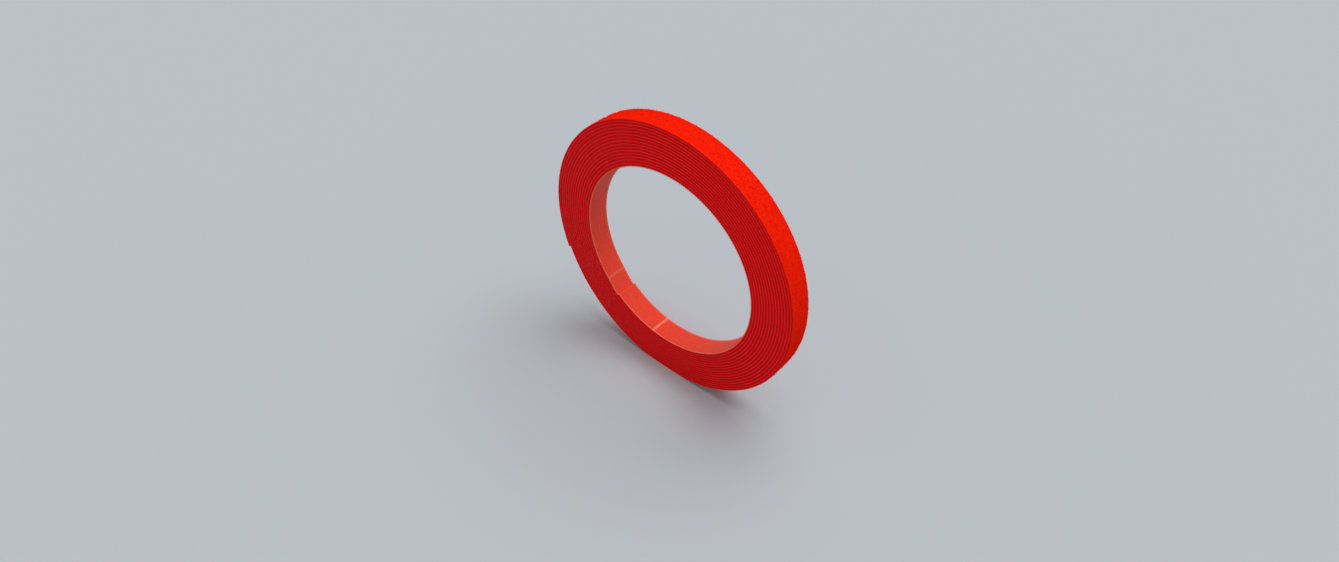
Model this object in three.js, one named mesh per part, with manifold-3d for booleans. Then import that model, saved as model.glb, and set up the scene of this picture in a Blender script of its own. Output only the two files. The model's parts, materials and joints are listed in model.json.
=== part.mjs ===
// A coreless roll of back-to-back hook and loop tape, standing on its edge.
// The tape is a hook film bonded to a loop fabric, wound with the hooks towards the bore.
// Lengths are in millimetres and angles in degrees. +Z is up, the roll's axis lies along Y,
// and its front looks along -Y. Clock angles run clockwise from the top, seen from the front.

import * as THREE from "three";
import { mergeVertices } from "three/addons/utils/BufferGeometryUtils.js";
import Module from "manifold-3d";

// The tape's section
const TAPE_WIDTH = 10;
const FILM_THICKNESS = 0.25; // the hook film, without its hooks
const FABRIC_THICKNESS = 0.5; // the loop fabric, with its pile pressed down
const GRIP_DEPTH = 0.45; // between two turns, where the hooks hold the loops
const LOOSE_PILE_HEIGHT = 0.25; // added to the fabric where no turn presses its pile down

// The winding
const BORE_RADIUS = 41.7; // to the hook film at the tape's inner end
const WOUND_TURNS = 14 + 11 / 12;
const INNER_END_CLOCK = 220;
const STEPS_PER_TURN = 36;
const FLAT_DEPTH = 0.5; // how far the pile is pressed flat where the roll stands

// The two free ends, which peel off the turn that they stick to
const OUTER_END_LENGTH = 21;
const INNER_END_LENGTH = 22; // from the end to the crease
const BEND_GAP = 0.3; // between a free end and the winding, at the bend

// Finishes
const FABRIC_RED = 0xd5190f;
const FABRIC_ROUGHNESS = 0.95;
const FILM_RED = 0xd94a3c;
const FILM_ROUGHNESS = 0.45;

// Worked out from the sizes above. A place along the tape is its wound angle from the inner end.
const PITCH = FILM_THICKNESS + FABRIC_THICKNESS + GRIP_DEPTH;
const FULL_TURN = 360;
const HALF_TURN = FULL_TURN / 2;
const GRID_STEP = FULL_TURN / STEPS_PER_TURN;
const GRID_START = (INNER_END_CLOCK - HALF_TURN - GRID_STEP / 2) % GRID_STEP;
const OUTER_END = FULL_TURN * WOUND_TURNS;
const UNCOVERED_FROM = OUTER_END - FULL_TURN;
const FABRIC_TOP = FILM_THICKNESS + FABRIC_THICKNESS;

const wasm = await Module();
wasm.setup();

const filmRadius = (wound) => BORE_RADIUS + (PITCH * wound) / FULL_TURN;
const woundAngle = (length, wound) => THREE.MathUtils.radToDeg(length / filmRadius(wound));

// A point of the true spiral, in the plane of the roll, at a height above the film's hook face
function spiralPoint(wound, height) {
  const clock = THREE.MathUtils.degToRad(INNER_END_CLOCK - wound);
  const radius = filmRadius(wound) + height;
  return new THREE.Vector2(radius * Math.sin(clock), radius * Math.cos(clock));
}

// The facets of all turns share one clock grid and run straight between its corners, so that
// neighbouring turns stay parallel. One facet of each turn lies straight under the axis.
function tapePoint(wound, height) {
  const corner = GRID_START + GRID_STEP * Math.floor((wound - GRID_START) / GRID_STEP);
  const share = (wound - corner) / GRID_STEP;
  return spiralPoint(corner, height).lerp(spiralPoint(corner + GRID_STEP, height), share);
}

// The ends of a stretch of tape and the grid corners between them, without any that nearly meet an end
function stationsOf(from, to) {
  const leastStep = GRID_STEP / 10;
  const stations = [from];
  const firstCorner = GRID_START + GRID_STEP * Math.ceil((from + leastStep - GRID_START) / GRID_STEP);
  for (let wound = firstCorner; wound < to - leastStep; wound += GRID_STEP) {
    stations.push(wound);
  }
  stations.push(to);
  return stations;
}

// The heights of the two layers' faces above the film's hook face. The pile rises within one step,
// from half a step past the place where the last turn comes out from under the tape's outer end.
const hookFace = () => 0;
const bondFace = () => FILM_THICKNESS;
const risen = (wound) => THREE.MathUtils.clamp((wound - UNCOVERED_FROM) / GRID_STEP - 0.5, 0, 1);
const pileFace = (wound) => FABRIC_TOP + LOOSE_PILE_HEIGHT * risen(wound);

// One layer of a stretch of tape: a closed strip of rectangular section
function stripGeometry(stations, lowFace, highFace) {
  const front = -TAPE_WIDTH / 2;
  const back = TAPE_WIDTH / 2;
  const positions = [];
  for (const wound of stations) {
    const low = tapePoint(wound, lowFace(wound));
    const high = tapePoint(wound, highFace(wound));
    positions.push(low.x, front, low.y, low.x, back, low.y);
    positions.push(high.x, back, high.y, high.x, front, high.y);
  }
  const corners = 4;
  const indices = [0, 1, 2, 0, 2, 3];
  for (let station = 0; station < stations.length - 1; station += 1) {
    const here = corners * station;
    const next = here + corners;
    for (let side = 0; side < corners; side += 1) {
      const beside = (side + 1) % corners;
      indices.push(here + side, next + side, next + beside);
      indices.push(here + side, next + beside, here + beside);
    }
  }
  const last = corners * (stations.length - 1);
  indices.push(last, last + 2, last + 1, last, last + 3, last + 2);
  const geometry = new THREE.BufferGeometry();
  geometry.setAttribute("position", new THREE.Float32BufferAttribute(positions, 3));
  geometry.setIndex(indices);
  return geometry;
}

function solidOf(geometry) {
  const bare = geometry.clone();
  bare.deleteAttribute("normal");
  bare.deleteAttribute("uv");
  const merged = mergeVertices(bare);
  const vertProperties = new Float32Array(merged.attributes.position.array);
  const triVerts = new Uint32Array(merged.index.array);
  return new wasm.Manifold(new wasm.Mesh({ numProp: 3, vertProperties, triVerts }));
}

// What is left of a strip above a level surface
function cutFlatAt(level, geometry) {
  const span = 4 * filmRadius(OUTER_END);
  const slab = new THREE.BoxGeometry(span, span, span);
  slab.translate(0, 0, level - span / 2);
  const kept = solidOf(geometry).subtract(solidOf(slab)).getMesh();
  const cut = new THREE.BufferGeometry();
  cut.setAttribute("position", new THREE.Float32BufferAttribute(kept.vertProperties, 3));
  cut.setIndex(Array.from(kept.triVerts));
  return cut;
}

// The least gap between two turns of a layer, on points at the stations and halfway between them
function leastGap(stations, lowFace, highFace) {
  const halfway = stations.slice(1).map((wound, index) => (wound + stations[index]) / 2);
  const places = [...stations, ...halfway];
  const lows = places.map((wound) => tapePoint(wound, lowFace(wound)));
  const highs = places.map((wound) => tapePoint(wound, highFace(wound)));
  let least = Infinity;
  highs.forEach((high, i) => {
    lows.forEach((low, j) => {
      if (places[j] - places[i] > HALF_TURN) {
        least = Math.min(least, high.distanceTo(low));
      }
    });
  });
  return least;
}

const roll = new THREE.Group();

function addLayer(name, geometry, color, roughness) {
  geometry.computeVertexNormals();
  const material = new THREE.MeshStandardMaterial({ color, roughness, metalness: 0 });
  const mesh = new THREE.Mesh(geometry, material);
  mesh.name = name;
  roll.add(mesh);
}

const addFilm = (name, geometry) => addLayer(name, geometry, FILM_RED, FILM_ROUGHNESS);
const addFabric = (name, geometry) => addLayer(name, geometry, FABRIC_RED, FABRIC_ROUGHNESS);

// Where the tape bends when a free end is peeled: half a gap from each of the solids that meet there
const innerBend = woundAngle(INNER_END_LENGTH, 0);
const outerBend = OUTER_END - woundAngle(OUTER_END_LENGTH, OUTER_END);
const innerHalfGap = woundAngle(BEND_GAP / 2, innerBend);
const outerHalfGap = woundAngle(BEND_GAP / 2, outerBend);

const windingStations = stationsOf(innerBend + innerHalfGap, outerBend - outerHalfGap);
const outerEndStations = stationsOf(outerBend + outerHalfGap, OUTER_END);
const innerEndStations = stationsOf(0, innerBend - innerHalfGap);

// The roll stands on the pile of its last turn, pressed flat under the axis
const lowestPile = Math.min(...windingStations.map((wound) => tapePoint(wound, pileFace(wound)).y));
const axisHeight = -lowestPile - FLAT_DEPTH;

const roundWinding = stripGeometry(windingStations, bondFace, pileFace);

addFilm("hook_film_winding", stripGeometry(windingStations, hookFace, bondFace));
addFabric("loop_fabric_winding", cutFlatAt(-axisHeight, roundWinding));
addFilm("hook_film_outer_end", stripGeometry(outerEndStations, hookFace, bondFace));
addFabric("loop_fabric_outer_end", stripGeometry(outerEndStations, bondFace, pileFace));
addFilm("hook_film_inner_end", stripGeometry(innerEndStations, hookFace, bondFace));
addFabric("loop_fabric_inner_end", stripGeometry(innerEndStations, bondFace, pileFace));

// The winding's least gaps, and the bend lines: the outer end folds out about its pile face, and the
// inner end folds into the bore about its hook face
const filmGap = leastGap(windingStations, hookFace, bondFace);
const fabricGap = leastGap(windingStations, bondFace, pileFace);
const tapeGap = leastGap(windingStations, hookFace, pileFace);
const outerHinge = tapePoint(outerBend, pileFace(outerBend));
const innerHinge = tapePoint(innerBend, hookFace());
const inPlace = (point) => `x ${point.x.toFixed(3)}, z ${(point.y + axisHeight).toFixed(3)} mm`;
console.log(`hook film: least gap to itself ${filmGap.toFixed(3)} mm`);
console.log(`loop fabric: least gap to itself ${fabricGap.toFixed(3)} mm`);
console.log(`both layers together: least gap to themselves ${tapeGap.toFixed(3)} mm`);
console.log(`roll axis at z ${axisHeight.toFixed(3)} mm`);
console.log(`bend line of the outer end at ${inPlace(outerHinge)}`);
console.log(`bend line of the inner end at ${inPlace(innerHinge)}`);

roll.position.z = axisHeight;

const part = new THREE.Group();
part.name = "hook_and_loop_tape_roll";
part.add(roll);

export default part;
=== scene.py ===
"""A roll of red back-to-back hook and loop tape, standing on its edge, dressed around its solids.

Each piece is modelled flat first, as the tape lies on a bench with its hooks up, and then wound:
X runs along the tape from its inner end, Y is up on the hook side, and Z runs across to the front.
Wound, +Z is up, the roll's axis lies along Y, and the front looks along -Y. Lengths are in metres.
"""

import json
import math
import random

import bmesh
import bpy
import numpy as np
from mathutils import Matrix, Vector


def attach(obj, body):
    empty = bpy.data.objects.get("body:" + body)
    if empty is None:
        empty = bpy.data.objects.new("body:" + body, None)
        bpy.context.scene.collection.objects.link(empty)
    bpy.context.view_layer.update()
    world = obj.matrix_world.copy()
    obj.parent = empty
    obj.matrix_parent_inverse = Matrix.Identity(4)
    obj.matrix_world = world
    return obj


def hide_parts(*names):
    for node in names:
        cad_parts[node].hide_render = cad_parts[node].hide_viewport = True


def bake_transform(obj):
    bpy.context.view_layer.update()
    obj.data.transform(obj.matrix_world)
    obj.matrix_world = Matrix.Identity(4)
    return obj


MM = 0.001

# The tape's section, as in the solids. Depths are measured from the hook face of the film.
TAPE_WIDTH = 10 * MM
HALF_WIDTH = TAPE_WIDTH / 2
FILM_THICKNESS = 0.25 * MM
FABRIC_THICKNESS = 0.5 * MM
GRIP_DEPTH = 0.45 * MM
PITCH = FILM_THICKNESS + FABRIC_THICKNESS + GRIP_DEPTH
GROUND_DEPTH = FILM_THICKNESS + FABRIC_THICKNESS

# The winding, as in the solids
BORE_RADIUS = 41.7 * MM
TURNS = 14 + 11 / 12
WOUND_ANGLE = math.tau * TURNS
INNER_END_CLOCK = math.radians(220)
AXIS_HEIGHT = 58.923 * MM
OUTER_END_LENGTH = 21 * MM
INNER_END_LENGTH = 22 * MM

# In the bore, the first turn keeps nearly level from the bend of the inner end on, and then climbs
# over that end. The turns around it even this out, and the last turn is as in the solids.
LEVEL_START = math.radians(30.2)
CLIMB_ANGLE = math.radians(11.65)
CLIMB_START = math.tau - CLIMB_ANGLE
PATH_STEPS_PER_TURN = 180

# Points this near to each other are one, and this near to a depth are at it
MERGE_DISTANCE = 0.001 * MM
NEAR = 0.01 * MM

# Faces that meet at less than this angle are shaded as one surface
SMOOTH_ANGLE = math.radians(40)

# The layers' edges, and the pile under a turn, which is pressed against the next hook film
EDGE_ROUNDING = 0.05 * MM
EDGE_SEGMENTS = 2
PRESSED_PILE_DEPTH = PITCH + 0.1 * MM
PRESSED_PILE_SETBACK = 0.3 * MM
PRESSED_PILE_ROUNDING = 0.2 * MM
PILE_SEGMENTS = 4
WINDING_STEP = 1.8 * MM

# The free pile of the last turn and of the two ends, brushed up into a nap that leans to the front
# and spills over that edge. It also lies under the outer end, and a little further back.
NAP_HEIGHT = 0.36 * MM
NAP_ROOT_DEPTH = 0.45 * MM
NAP_SPILL = 0.1 * MM
NAP_LEAN = 0.25 * MM
NAP_ROUNDING = 0.45 * MM
NAP_RELIEF = 0.2 * MM
NAP_TUFT = 0.4 * MM
NAP_CUTS_ACROSS = 36
NAP_DEPTH = GROUND_DEPTH + NAP_HEIGHT
NAP_FURTHER = 10 * MM
FREE_STEP = 0.27 * MM

# The moulded hooks, in rows along the tape. A hook grows from its root in steps: how far forward and
# up each goes, and how much narrower it ends. The last one turns down.
HOOK_PITCH = 1.0 * MM
HOOK_THICKNESS = 0.2 * MM
HOOK_ROOT = 0.3 * MM
HOOK_ROOT_HEIGHT = 0.12 * MM
HOOK_ROOT_MIDDLE = 0.04 * MM
HOOK_ROOT_NARROWING = 0.6
HOOK_STEPS = (
    (0.02 * MM, 0.14 * MM, 0.8),
    (0.1 * MM, 0.12 * MM, 0.9),
    (0.14 * MM, -0.06 * MM, 0.7),
)
HOOK_ROW_COUNT = 12
EDGE_ROW = HALF_WIDTH - 0.18 * MM
HOOK_ROWS = [EDGE_ROW * (2 * row / (HOOK_ROW_COUNT - 1) - 1) for row in range(HOOK_ROW_COUNT)]

# The single loops that stand out of the nap. They lean by an angle in radians and differ in size.
LOOP_PATCH = 7.3 * MM
LOOPS_PER_PATCH = 95
LOOP_RADIUS = 0.28 * MM
LOOP_STEPS = 6
LOOP_SUNK = 0.05 * MM
LOOP_LEAN = 0.9
LOOP_SCALES = 0.7, 1.4
FIBRE_RADIUS = 0.03 * MM
FIBRE_SIDES = 3
LOOP_SEED = 7

# The bend of a peeled end reaches back into the roll and out along the end
BEND_BACK = 1.2 * MM

# Where the roll stands, its last turn is squeezed flat up to this height
SQUEEZED_HEIGHT = 0.7 * MM

# The knit's colours, and the sizes of what shows on it
KNIT_GROUND = "f80814"
# The nap's hollow colour is painted shade, and its tip colour painted light
NAP_HOLLOW_SHADE = "e60c08"
NAP_TIP_LIGHT = "ff280a"
KNIT_SHEEN = "ff3020"
TUFT_SIZE = 0.55 * MM
FIBRE_SIZE = 0.2 * MM
NAP_BUMP = 0.15 * MM

# The film's colours, and where they show: across its width, and up its hooks
FILM_DEEP = "e83824"
FILM_MILKY = "f6482e"
# Stress-white at the crease, and the colour of the painted highlights on the film
FILM_WHITE_AND_HIGHLIGHT = "ff8c68"
FILM_SLIT = "ee0614"
HAZE_SIZE = 2 * MM
# A lighter band along both rims: a painted highlight
RIM_HIGHLIGHT_FROM, RIM_HIGHLIGHT_TO = HALF_WIDTH - 0.7 * MM, HALF_WIDTH - 0.4 * MM
SLIT_FROM, SLIT_TO = HALF_WIDTH - 0.3 * MM, HALF_WIDTH - 0.12 * MM
# Up its hooks the film turns lighter: partly the tips' own paler plastic, partly painted light
TIP_FROM, TIP_TO = 0.05 * MM, 0.3 * MM

# The camera, with a wide lens on a 36 mm frame
CAMERA_PLACE = (0.150757, -0.174899, 0.250745)
CAMERA_TURN = math.radians(41.105)
CAMERA_PITCH = math.radians(41.42)
CAMERA_LENS = 20.343
CAMERA_FRAME = 36

# The floor, a backdrop as bright as the lit floor, and the light
FLOOR_SIZE = 40
FLOOR_COLOUR = "b4babf"
BACKDROP_STRENGTH = 1.146
FILL_COLOUR = "f6f8fa"
FILL_STRENGTH = 0.5
KEY_TOWARDS = (0.15, 0.25, 1)
KEY_STRENGTH = 2.0
KEY_SOFTNESS = math.radians(55)


def tape_radius(wound):
    """The radius of the tape's hook face at a wound angle."""
    in_turn = wound % math.tau
    level_drop = PITCH / math.tau * np.maximum(in_turn - LEVEL_START, 0)
    climbed = np.clip((in_turn - CLIMB_START) / CLIMB_ANGLE, 0, 1)
    evened = np.clip(wound / (WOUND_ANGLE - math.tau), 0, 1)
    return BORE_RADIUS + PITCH * wound / math.tau - level_drop * (1 - climbed) * (1 - evened)


# The path that the tape's hook face follows, from the inner end to the outer one, around the axis
PATH_WOUND = np.linspace(0, WOUND_ANGLE, round(TURNS * PATH_STEPS_PER_TURN) + 1)
PATH_ACROSS = tape_radius(PATH_WOUND) * np.sin(INNER_END_CLOCK - PATH_WOUND)
PATH_UP = tape_radius(PATH_WOUND) * np.cos(INNER_END_CLOCK - PATH_WOUND)
PATH_LENGTHS = np.append(0, np.cumsum(np.hypot(np.diff(PATH_ACROSS), np.diff(PATH_UP))))


def place_along(wound):
    """How far along the tape a wound angle lies, from the inner end."""
    return float(np.interp(wound, PATH_WOUND, PATH_LENGTHS))


# Places along the tape
TAPE_LENGTH = place_along(WOUND_ANGLE)
INNER_BEND = INNER_END_LENGTH
ROLL_START = INNER_BEND + BEND_BACK
ROLL_STOP = TAPE_LENGTH - OUTER_END_LENGTH - BEND_BACK
SECOND_TURN = place_along(math.tau)
BORE_HOOKS_STOP = SECOND_TURN + ROLL_START
LAST_TURN = place_along(WOUND_ANGLE - math.tau)
NAP_START = LAST_TURN - OUTER_END_LENGTH - NAP_FURTHER

# Lines across the hook film: the place along the tape, half the width, and how much. The crease of
# its inner end is stress-white, and its cut inner end and the bend where the tape climbs over it are
# painted highlights.
WHITE_AND_HIGHLIT_LINES = (
    (0, 0.6 * MM, 0.2),
    (INNER_BEND, 0.8 * MM, 0.9),
    (place_along(CLIMB_START), 0.9 * MM, 0.35),
)


# Modelling


def take(*pieces):
    """Selects these pieces alone, the first of them active."""
    bpy.ops.object.select_all(action="DESELECT")
    for piece in pieces:
        piece.select_set(True)
    bpy.context.view_layer.objects.active = pieces[0]


def edit(piece):
    take(piece)
    bpy.ops.object.mode_set(mode="EDIT")
    bpy.ops.mesh.select_all(action="SELECT")


def done():
    bpy.ops.object.mode_set(mode="OBJECT")


def choose(piece, kind, test):
    """Selects the verts, edges or faces of a piece in edit mode that pass a test."""
    bpy.ops.mesh.select_mode(type={"verts": "VERT", "edges": "EDGE", "faces": "FACE"}[kind])
    bpy.ops.mesh.select_all(action="DESELECT")
    mesh = bmesh.from_edit_mesh(piece.data)
    for element in getattr(mesh, kind):
        if test(element):
            element.select_set(True)
    mesh.select_flush_mode()
    bmesh.update_edit_mesh(piece.data)


def settle(piece):
    """Puts a piece's place, turn and size into its mesh."""
    take(piece)
    bpy.ops.object.transform_apply(location=True, rotation=True, scale=True)


def apply_modifier(piece, kind, **settings):
    take(piece)
    modifier = piece.modifiers.new(kind.lower(), kind)
    for name, value in settings.items():
        setattr(modifier, name, value)
    bpy.ops.object.modifier_apply(modifier=modifier.name)


def repeat(piece, count, step, merge=False):
    """Repeats a piece along the tape."""
    apply_modifier(
        piece,
        "ARRAY",
        count=count,
        use_relative_offset=False,
        use_constant_offset=True,
        constant_offset_displace=(step, 0, 0),
        use_merge_vertices=merge,
        merge_threshold=MERGE_DISTANCE,
    )


def join(name, pieces):
    take(*pieces)
    if len(pieces) > 1:
        bpy.ops.object.join()
    pieces[0].name = name
    return pieces[0]


def points_of(piece):
    points = np.empty(3 * len(piece.data.vertices))
    piece.data.vertices.foreach_get("co", points)
    return points.reshape(-1, 3)


# The layers of the tape


def start_section(name, top, bottom):
    """A rectangle across the tape, between two depths."""
    bpy.ops.mesh.primitive_plane_add(size=1, rotation=(0, math.radians(90), 0))
    section = bpy.context.object
    section.name = name
    section.scale = (TAPE_WIDTH, bottom - top, 1)
    section.location = (0, -(top + bottom) / 2, 0)
    settle(section)
    return section


def draw_out(section, start, stop, step):
    """Draws a section out into a closed strip from start to stop along the tape."""
    length = stop - start
    count = round(length / step)
    edit(section)
    bpy.ops.mesh.delete(type="ONLY_FACE")
    bpy.ops.mesh.select_mode(type="EDGE")
    bpy.ops.mesh.select_all(action="SELECT")
    bpy.ops.mesh.extrude_region_move(TRANSFORM_OT_translate={"value": (length / count, 0, 0)})
    done()
    repeat(section, count, length / count, merge=True)
    edit(section)
    bpy.ops.mesh.fill_holes(sides=0)
    bpy.ops.mesh.select_all(action="SELECT")
    bpy.ops.mesh.normals_make_consistent(inside=False)
    done()
    bpy.ops.object.shade_smooth_by_angle(angle=SMOOTH_ANGLE)
    # Thousands of steps drift by a tenth of a millimetre, so the strip is brought to its length
    section.scale.x = length / section.dimensions.x
    section.location.x = start
    settle(section)


def make_film(name, start, stop, step):
    """The hook film without its hooks, its slit edges a little rounded."""
    film = start_section(name, 0, FILM_THICKNESS)
    edit(film)
    bpy.ops.mesh.bevel(offset=EDGE_ROUNDING, segments=EDGE_SEGMENTS, affect="VERTICES")
    done()
    draw_out(film, start, stop, step)
    return film


def start_fabric(name, ground_depth, pile_depth, spread, rounding, lean=0):
    """The section of the loop fabric: its knit ground, and its pile, which may spread and lean."""
    fabric = start_section(name, FILM_THICKNESS, ground_depth)
    edit(fabric)
    choose(fabric, "edges", lambda edge: all(v.co.y < -ground_depth + NEAR for v in edge.verts))
    bpy.ops.mesh.extrude_region_move(
        TRANSFORM_OT_translate={"value": (0, ground_depth - pile_depth, lean)}
    )
    bpy.ops.transform.resize(value=(1, 1, 1 + spread / HALF_WIDTH))
    choose(fabric, "edges", lambda edge: all(abs(v.co.y + ground_depth) < NEAR for v in edge.verts))
    bpy.ops.mesh.dissolve_edges(use_verts=False)
    choose(fabric, "verts", lambda vert: vert.co.y < -ground_depth - NEAR)
    bpy.ops.mesh.bevel(offset=rounding, segments=PILE_SEGMENTS, affect="VERTICES")
    done()
    return fabric


def make_pressed_fabric(name, start, stop):
    """Loop fabric under a turn, with its pile pressed in from the edges."""
    fabric = start_fabric(
        name, GROUND_DEPTH, PRESSED_PILE_DEPTH, -PRESSED_PILE_SETBACK, PRESSED_PILE_ROUNDING
    )
    draw_out(fabric, start, stop, WINDING_STEP)
    return fabric


def make_napped_fabric(name, start, stop):
    """Loop fabric with nothing on its pile, which is brushed up into tufts."""
    fabric = start_fabric(name, NAP_ROOT_DEPTH, NAP_DEPTH, NAP_SPILL, NAP_ROUNDING, NAP_LEAN)
    edit(fabric)
    choose(
        fabric,
        "edges",
        lambda edge: edge.calc_length() > HALF_WIDTH and edge.verts[0].co.y < -GROUND_DEPTH,
    )
    bpy.ops.mesh.subdivide(number_cuts=NAP_CUTS_ACROSS)
    done()
    draw_out(fabric, start, stop, FREE_STEP)
    pile = fabric.vertex_groups.new(name="pile")
    depths = -points_of(fabric)[:, 1]
    pile.add(np.flatnonzero(depths > GROUND_DEPTH).tolist(), 1, "REPLACE")
    tufts = bpy.data.textures.new("tufts", "CLOUDS")
    tufts.noise_scale = NAP_TUFT
    apply_modifier(
        fabric,
        "DISPLACE",
        texture=tufts,
        texture_coords="LOCAL",
        vertex_group=pile.name,
        strength=NAP_RELIEF,
        mid_level=0.5,
    )
    fabric.vertex_groups.clear()
    return fabric


# The hooks and loops


def make_hook(name):
    """One moulded hook: a root that narrows to a stem, bends over along the tape and ends in a tip."""
    bpy.ops.mesh.primitive_cube_add(size=1)
    hook = bpy.context.object
    hook.name = name
    hook.scale = (HOOK_ROOT, HOOK_ROOT_HEIGHT, HOOK_THICKNESS)
    hook.location = (0, HOOK_ROOT_MIDDLE, 0)
    settle(hook)
    edit(hook)
    choose(hook, "faces", lambda face: face.normal.y > 0.9)
    bpy.ops.transform.resize(value=(HOOK_ROOT_NARROWING, 1, 1))
    for forward, up, narrowing in HOOK_STEPS:
        bpy.ops.mesh.extrude_region_move(TRANSFORM_OT_translate={"value": (forward, up, 0)})
        bpy.ops.transform.resize(value=(narrowing, 1, narrowing))
    done()
    bpy.ops.object.shade_smooth()
    return hook


def make_hooks(name, start, stop, rows):
    """Rows of hooks on the film from start to stop, every second row bent the other way."""
    hooks = []
    for index, across in enumerate(rows):
        hook = make_hook(f"{name}_{index}")
        hook.rotation_euler = (0, math.pi * (index % 2), 0)
        hook.location = (start + HOOK_PITCH / 2, 0, across)
        settle(hook)
        hooks.append(hook)
    hooks = join(name, hooks)
    repeat(hooks, int((stop - start) / HOOK_PITCH), HOOK_PITCH)
    return hooks


def make_loop(name):
    """One raised loop of fibre, with both feet in the nap."""
    bpy.ops.mesh.primitive_circle_add(
        vertices=FIBRE_SIDES,
        radius=FIBRE_RADIUS,
        fill_type="NGON",
        location=(LOOP_RADIUS, 0, 0),
        rotation=(math.radians(90), 0, 0),
    )
    loop = bpy.context.object
    loop.name = name
    settle(loop)
    edit(loop)
    bpy.ops.mesh.spin(steps=LOOP_STEPS, angle=math.pi, center=(0, 0, 0), axis=(0, 0, 1))
    done()
    bpy.ops.object.shade_smooth()
    return loop


def make_loops(name, start, stop):
    """Loops strewn over the nap from start to stop, as one patch that repeats along the tape."""
    strewn = random.Random(LOOP_SEED)
    reach = HALF_WIDTH - NAP_ROUNDING
    loops = []
    for index in range(LOOPS_PER_PATCH):
        loop = make_loop(f"{name}_{index}")
        loop.location = (
            start + strewn.uniform(0, LOOP_PATCH),
            -NAP_DEPTH + LOOP_SUNK,
            strewn.uniform(-reach, reach),
        )
        lean = strewn.uniform(-LOOP_LEAN, LOOP_LEAN)
        loop.rotation_euler = (lean, strewn.uniform(0, math.tau), 0)
        loop.scale = [strewn.uniform(*LOOP_SCALES) for _ in range(3)]
        settle(loop)
        loops.append(loop)
    loops = join(name, loops)
    repeat(loops, int((stop - start) / LOOP_PATCH), LOOP_PATCH)
    return loops


# The flat pieces, each with the body that it moves with and the node that it replaces


def make_hook_side():
    """The hook film in three stretches, and the hooks that show: all in the bore and on the free ends,
    and the rows along both edges elsewhere."""
    roll, outer_end, inner_end = (ROLL_START, ROLL_STOP), (ROLL_STOP, TAPE_LENGTH), (0, ROLL_START)
    bore, between = (ROLL_START, BORE_HOOKS_STOP), (BORE_HOOKS_STOP, ROLL_STOP)
    return (
        (make_film("wound_film", *roll, WINDING_STEP), "roll", "hook_film_winding"),
        (make_film("outer_end_film", *outer_end, FREE_STEP), "outer_end", "hook_film_outer_end"),
        (make_film("inner_end_film", *inner_end, FREE_STEP), "inner_end", "hook_film_inner_end"),
        (make_hooks("bore_hooks", *bore, HOOK_ROWS), "roll", None),
        (make_hooks("outer_end_hooks", *outer_end, HOOK_ROWS), "outer_end", None),
        (make_hooks("inner_end_hooks", *inner_end, HOOK_ROWS), "inner_end", None),
        (make_hooks("front_edge_hooks", *between, HOOK_ROWS[-1:]), "roll", None),
        (make_hooks("back_edge_hooks", *between, HOOK_ROWS[:1]), "roll", None),
    )


def make_loop_side():
    """The loop fabric, pressed under the turns and napped where it is free, and the loops of its nap."""
    covered, outer_turn = (ROLL_START, NAP_START), (NAP_START, ROLL_STOP)
    outer_end, inner_end = (ROLL_STOP, TAPE_LENGTH), (0, ROLL_START)
    return (
        (make_pressed_fabric("wound_fabric", *covered), "roll", "loop_fabric_winding"),
        (make_napped_fabric("outer_turn_fabric", *outer_turn), "roll", None),
        (make_napped_fabric("outer_end_fabric", *outer_end), "outer_end", "loop_fabric_outer_end"),
        (make_napped_fabric("inner_end_fabric", *inner_end), "inner_end", "loop_fabric_inner_end"),
        (make_loops("outer_turn_loops", *outer_turn), "roll", None),
        (make_loops("outer_end_loops", *outer_end), "outer_end", None),
        (make_loops("inner_end_loops", *inner_end), "inner_end", None),
    )


# Winding


def make_tape_path():
    """The path as a curve that the flat pieces are wound on."""
    curve = bpy.data.curves.new("tape_path", "CURVE")
    curve.dimensions = "2D"
    spline = curve.splines.new("POLY")
    spline.points.add(len(PATH_WOUND) - 1)
    for point, across, up in zip(spline.points, PATH_ACROSS, PATH_UP):
        point.co = (across, up, 0, 1)
    path = bpy.data.objects.new("tape_path", curve)
    bpy.context.scene.collection.objects.link(path)
    path.location = (0, 0, AXIS_HEIGHT)
    path.rotation_euler = (math.radians(90), 0, 0)
    return path


def squeeze_flat(piece):
    """Squeezes the lowest turn onto the surface that the roll stands on, less and less upwards."""
    lowest_wound = WOUND_ANGLE - math.tau + (INNER_END_CLOCK - WOUND_ANGLE - math.pi) % math.tau
    sunk = tape_radius(lowest_wound) + NAP_DEPTH - AXIS_HEIGHT
    points = points_of(piece)
    share = np.clip((SQUEEZED_HEIGHT - points[:, 2]) / (SQUEEZED_HEIGHT + sunk), 0, 1)
    points[:, 2] = np.maximum(points[:, 2] + sunk * share**2, 0)
    piece.data.vertices.foreach_set("co", points.ravel())
    piece.data.update()


def wind(piece, path):
    """Winds a flat piece on the path. It keeps its flat place, which its material's patterns follow."""
    flat = piece.data.attributes.new("flat_place", "FLOAT_VECTOR", "POINT")
    flat.data.foreach_set("vector", points_of(piece).ravel())
    piece.location = path.location
    piece.rotation_euler = path.rotation_euler
    apply_modifier(piece, "CURVE", object=path, deform_axis="POS_X")
    settle(piece)
    squeeze_flat(piece)


def move_with(piece, body, hinges):
    """Attaches a piece to the roll; a piece of a free end only has its place baked into its mesh."""
    if body == "roll":
        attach(piece, body)
        return
    hinge = hinges[body]
    outwards = (hinge - Vector((0, 0, AXIS_HEIGHT))).normalized()
    along = Vector((0, 1, 0)).cross(outwards)
    if body == "outer_end":
        along = -along
    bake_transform(piece)


# Materials


def linear(hex_colour):
    """The linear colour of an sRGB hex value."""
    values = [int(hex_colour[i : i + 2], 16) / 255 for i in (0, 2, 4)]
    return [v / 12.92 if v <= 0.04045 else ((v + 0.055) / 1.055) ** 2.4 for v in values] + [1]


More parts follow.
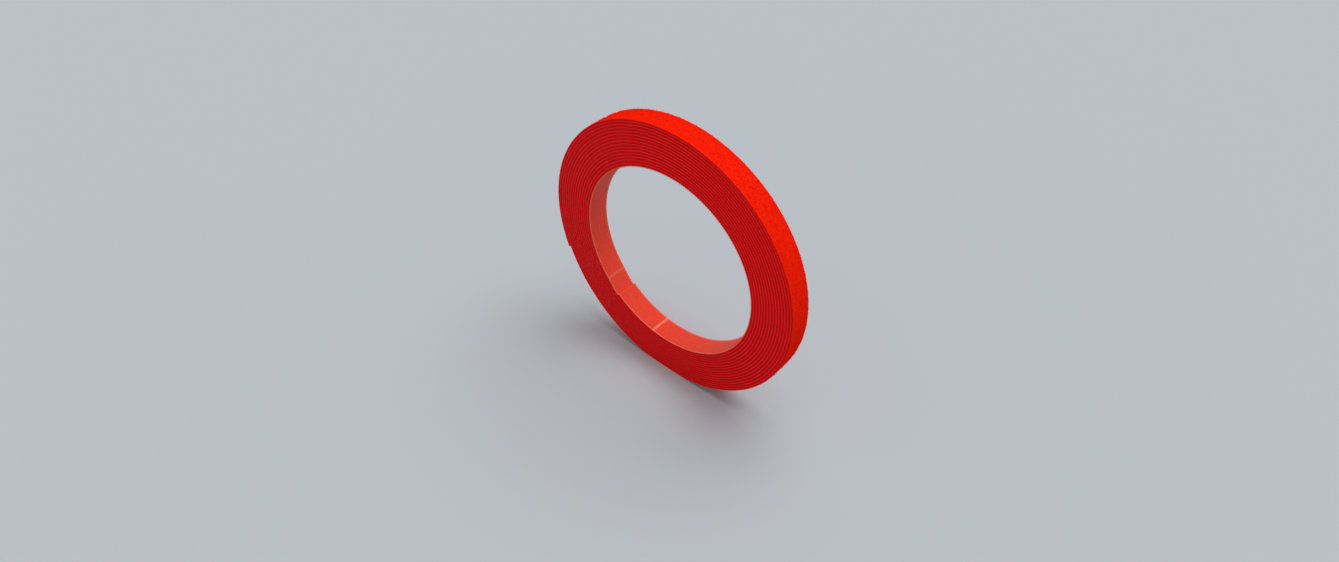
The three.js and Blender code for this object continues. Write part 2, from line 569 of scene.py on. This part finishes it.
def add_node(tree, kind, inputs=None, **settings):
    """Adds a node. An input is a value, or the output of another node that feeds it."""
    node = tree.nodes.new(kind)
    for name, value in settings.items():
        setattr(node, name, value)
    for name, value in (inputs or {}).items():
        if isinstance(value, bpy.types.NodeSocket):
            tree.links.new(value, node.inputs[name])
        else:
            node.inputs[name].default_value = value
    return node


def start_material(name):
    material = bpy.data.materials.new(name)
    material.use_nodes = True
    material.node_tree.nodes.clear()
    return material, material.node_tree


def brushed_nylon_knit():
    """Brushed nylon loop knit: matt, its crimson ground under a nap of tufts and fibres, with painted
    shade in its hollows and painted light on its tops and raised loops.
    """
    material, tree = start_material("brushed_nylon_knit")
    flat = add_node(tree, "ShaderNodeAttribute", attribute_name="flat_place")
    place = flat.outputs["Vector"]
    axes = add_node(tree, "ShaderNodeSeparateXYZ", {"Vector": place})
    tufts = add_node(
        tree,
        "ShaderNodeTexVoronoi",
        {"Vector": place, "Scale": 1 / TUFT_SIZE},
        feature="SMOOTH_F1",
    )
    fibres = add_node(
        tree, "ShaderNodeTexNoise", {"Vector": place, "Scale": 1 / FIBRE_SIZE, "Detail": 3.0}
    )
    relief = add_node(
        tree,
        "ShaderNodeMath",
        {0: fibres.outputs["Fac"], 1: tufts.outputs["Distance"]},
        operation="SUBTRACT",
    )
    # Painted shade and light: the nap is darker in the hollows of its relief and lighter on its tops
    lit_tip_share = add_node(
        tree,
        "ShaderNodeMapRange",
        {"Value": relief.outputs["Value"], "From Min": -0.5, "From Max": 0.4},
    )
    raised = add_node(
        tree,
        "ShaderNodeMapRange",
        {
            "Value": axes.outputs["Y"],
            "From Min": -NAP_DEPTH - NAP_RELIEF / 2,
            "From Max": -NAP_DEPTH - NAP_RELIEF / 2 - FIBRE_RADIUS,
        },
    )
    # Loops that stand out of the nap take the tip colour too: painted light
    painted_light_share = add_node(
        tree,
        "ShaderNodeMath",
        {0: lit_tip_share.outputs["Result"], 1: raised.outputs["Result"]},
        operation="MAXIMUM",
    )
    nap = add_node(
        tree,
        "ShaderNodeMixRGB",
        {
            "Fac": painted_light_share.outputs["Value"],
            "Color1": linear(NAP_HOLLOW_SHADE),
            "Color2": linear(NAP_TIP_LIGHT),
        },
    )
    nap_share = add_node(
        tree,
        "ShaderNodeMapRange",
        {
            "Value": axes.outputs["Y"],
            "From Min": -GROUND_DEPTH,
            "From Max": -GROUND_DEPTH - NAP_HEIGHT / 2,
        },
    )
    colour = add_node(
        tree,
        "ShaderNodeMixRGB",
        {
            "Fac": nap_share.outputs["Result"],
            "Color1": linear(KNIT_GROUND),
            "Color2": nap.outputs["Color"],
        },
    )
    roughening = add_node(
        tree,
        "ShaderNodeMapRange",
        {"Value": raised.outputs["Result"], "To Min": 0.7, "To Max": 0.0},
    )
    bump = add_node(
        tree,
        "ShaderNodeBump",
        {
            "Height": relief.outputs["Value"],
            "Strength": roughening.outputs["Result"],
            "Distance": NAP_BUMP,
        },
    )
    surface = add_node(
        tree,
        "ShaderNodeBsdfPrincipled",
        {
            "Base Color": colour.outputs["Color"],
            "Roughness": 0.95,
            "Specular IOR Level": 0.0,
            "Sheen Weight": 0.04,
            "Sheen Roughness": 0.5,
            "Sheen Tint": linear(KNIT_SHEEN),
            "Normal": bump.outputs["Normal"],
        },
    )
    add_node(tree, "ShaderNodeOutputMaterial", {"Surface": surface.outputs["BSDF"]})
    return material


def moulded_hook_film():
    """Moulded polyamide film: satin and slightly milky, with a painted highlight along its rims, hooks
    that turn lighter upwards, partly painted light, and a deeper red along its slit edges. It is
    stress-white at the crease of its inner end, and painted highlights lie at its cut end and at the
    bend where the tape climbs over that end."""
    material, tree = start_material("moulded_hook_film")
    flat = add_node(tree, "ShaderNodeAttribute", attribute_name="flat_place")
    place = flat.outputs["Vector"]
    axes = add_node(tree, "ShaderNodeSeparateXYZ", {"Vector": place})
    haze = add_node(
        tree, "ShaderNodeTexNoise", {"Vector": place, "Scale": 1 / HAZE_SIZE, "Detail": 3.0}
    )
    milky = add_node(
        tree,
        "ShaderNodeMixRGB",
        {"Fac": haze.outputs["Fac"], "Color1": linear(FILM_DEEP), "Color2": linear(FILM_MILKY)},
    )
    across = add_node(tree, "ShaderNodeMath", {0: axes.outputs["Z"]}, operation="ABSOLUTE")
    # A painted highlight along both rims
    rim_highlight = add_node(
        tree,
        "ShaderNodeMapRange",
        {
            "Value": across.outputs["Value"],
            "From Min": RIM_HIGHLIGHT_FROM,
            "From Max": RIM_HIGHLIGHT_TO,
            "To Max": 0.45,
        },
    )
    # Lighter up the hooks: partly their own paler plastic, partly painted light that lifts their shading
    tips = add_node(
        tree,
        "ShaderNodeMapRange",
        {
            "Value": axes.outputs["Y"],
            "From Min": TIP_FROM,
            "From Max": TIP_TO,
            "To Max": 0.55,
        },
    )
    paler = add_node(
        tree,
        "ShaderNodeMath",
        {0: rim_highlight.outputs["Result"], 1: tips.outputs["Result"]},
        operation="MAXIMUM",
    )
    white_and_highlight_share = paler.outputs["Value"]
    # Stress-white at the crease, and painted highlights at the cut end and at the climbing bend
    for line_place, half_width, strength in WHITE_AND_HIGHLIT_LINES:
        beyond = add_node(
            tree, "ShaderNodeMath", {0: axes.outputs["X"], 1: line_place}, operation="SUBTRACT"
        )
        away = add_node(
            tree, "ShaderNodeMath", {0: beyond.outputs["Value"]}, operation="ABSOLUTE"
        )
        line = add_node(
            tree,
            "ShaderNodeMapRange",
            {
                "Value": away.outputs["Value"],
                "From Min": half_width,
                "From Max": half_width / 3,
                "To Max": strength,
            },
            interpolation_type="SMOOTHSTEP",
        )
        stronger = add_node(
            tree, "ShaderNodeMath", {0: white_and_highlight_share, 1: line.outputs["Result"]}, operation="MAXIMUM"
        )
        white_and_highlight_share = stronger.outputs["Value"]
    white_and_highlit = add_node(
        tree,
        "ShaderNodeMixRGB",
        {"Fac": white_and_highlight_share, "Color1": milky.outputs["Color"], "Color2": linear(FILM_WHITE_AND_HIGHLIGHT)},
    )
    covered = add_node(
        tree,
        "ShaderNodeMapRange",
        {
            "Value": axes.outputs["X"],
            "From Min": SECOND_TURN - 2 * MM,
            "From Max": SECOND_TURN + 2 * MM,
        },
    )
    slit = add_node(
        tree,
        "ShaderNodeMapRange",
        {
            "Value": across.outputs["Value"],
            "From Min": SLIT_FROM,
            "From Max": SLIT_TO,
            "To Max": covered.outputs["Result"],
        },
    )
    colour = add_node(
        tree,
        "ShaderNodeMixRGB",
        {
            "Fac": slit.outputs["Result"],
            "Color1": white_and_highlit.outputs["Color"],
            "Color2": linear(FILM_SLIT),
        },
    )
    surface = add_node(
        tree,
        "ShaderNodeBsdfPrincipled",
        {
            "Base Color": colour.outputs["Color"],
            "Roughness": 0.4,
            "IOR": 1.53,
            "Specular IOR Level": 0.32,
        },
    )
    add_node(tree, "ShaderNodeOutputMaterial", {"Surface": surface.outputs["BSDF"]})
    return material


# The stage


def make_camera():
    bpy.ops.object.camera_add(
        location=CAMERA_PLACE,
        rotation=(math.radians(90) - CAMERA_PITCH, 0, CAMERA_TURN),
    )
    camera = bpy.context.object
    camera.name = "camera"
    camera.data.lens = CAMERA_LENS
    camera.data.sensor_width = CAMERA_FRAME
    bpy.context.scene.camera = camera


def make_floor():
    material, tree = start_material("pale_floor")
    surface = add_node(
        tree, "ShaderNodeBsdfPrincipled", {"Base Color": linear(FLOOR_COLOUR), "Roughness": 0.8}
    )
    add_node(tree, "ShaderNodeOutputMaterial", {"Surface": surface.outputs["BSDF"]})
    bpy.ops.mesh.primitive_plane_add(size=FLOOR_SIZE)
    floor = bpy.context.object
    floor.name = "floor"
    floor.data.materials.append(material)


def make_key_lamp():
    """A broad soft lamp far above, which leaves no highlight on the film."""
    bpy.ops.object.light_add(type="SUN", location=KEY_TOWARDS)
    lamp = bpy.context.object
    lamp.name = "key_lamp"
    lamp.data.energy = KEY_STRENGTH
    lamp.data.angle = KEY_SOFTNESS
    lamp.rotation_euler = Vector(KEY_TOWARDS).to_track_quat("Z", "Y").to_euler()
    lamp.visible_glossy = False


def light_scene():
    """An even fill from all round, the key lamp, and a backdrop for what looks past the floor."""
    scene = bpy.context.scene
    scene.view_settings.view_transform = "Standard"
    world = bpy.data.worlds.new("soft_studio")
    scene.world = world
    world.use_nodes = True
    tree = world.node_tree
    tree.nodes.clear()
    rays = add_node(tree, "ShaderNodeLightPath").outputs
    mirrored = add_node(
        tree,
        "ShaderNodeMath",
        {0: rays["Is Glossy Ray"], 1: rays["Is Transmission Ray"]},
        operation="MAXIMUM",
    )
    seen = add_node(
        tree,
        "ShaderNodeMath",
        {0: rays["Is Camera Ray"], 1: mirrored.outputs["Value"]},
        operation="MAXIMUM",
    )
    fill = add_node(
        tree, "ShaderNodeBackground", {"Color": linear(FILL_COLOUR), "Strength": FILL_STRENGTH}
    )
    backdrop = add_node(
        tree,
        "ShaderNodeBackground",
        {"Color": linear(FLOOR_COLOUR), "Strength": BACKDROP_STRENGTH},
    )
    shown = add_node(
        tree,
        "ShaderNodeMixShader",
        {0: seen.outputs["Value"], 1: fill.outputs[0], 2: backdrop.outputs[0]},
    )
    add_node(tree, "ShaderNodeOutputWorld", {"Surface": shown.outputs[0]})
    make_key_lamp()


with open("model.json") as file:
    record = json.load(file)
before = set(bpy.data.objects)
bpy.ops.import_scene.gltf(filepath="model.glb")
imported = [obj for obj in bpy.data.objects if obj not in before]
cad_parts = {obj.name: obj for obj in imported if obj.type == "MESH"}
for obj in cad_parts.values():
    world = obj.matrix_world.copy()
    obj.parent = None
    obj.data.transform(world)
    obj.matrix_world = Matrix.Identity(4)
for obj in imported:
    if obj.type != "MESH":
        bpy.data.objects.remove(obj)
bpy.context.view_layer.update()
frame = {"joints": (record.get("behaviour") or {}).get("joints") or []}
make_camera()
tape_path = make_tape_path()
hinges = {joint["child"]: Vector(joint["pos_m"]) for joint in frame["joints"]}

for slot, finish, pieces in (
    ("hook_film", moulded_hook_film(), make_hook_side()),
    ("loop_fabric", brushed_nylon_knit(), make_loop_side()),
):
    for piece, body, node in pieces:
        wind(piece, tape_path)
        piece.data.materials.append(finish)
        if node:
            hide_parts(node)
        move_with(piece, body, hinges)

bpy.data.objects.remove(tape_path)
make_floor()
light_scene()
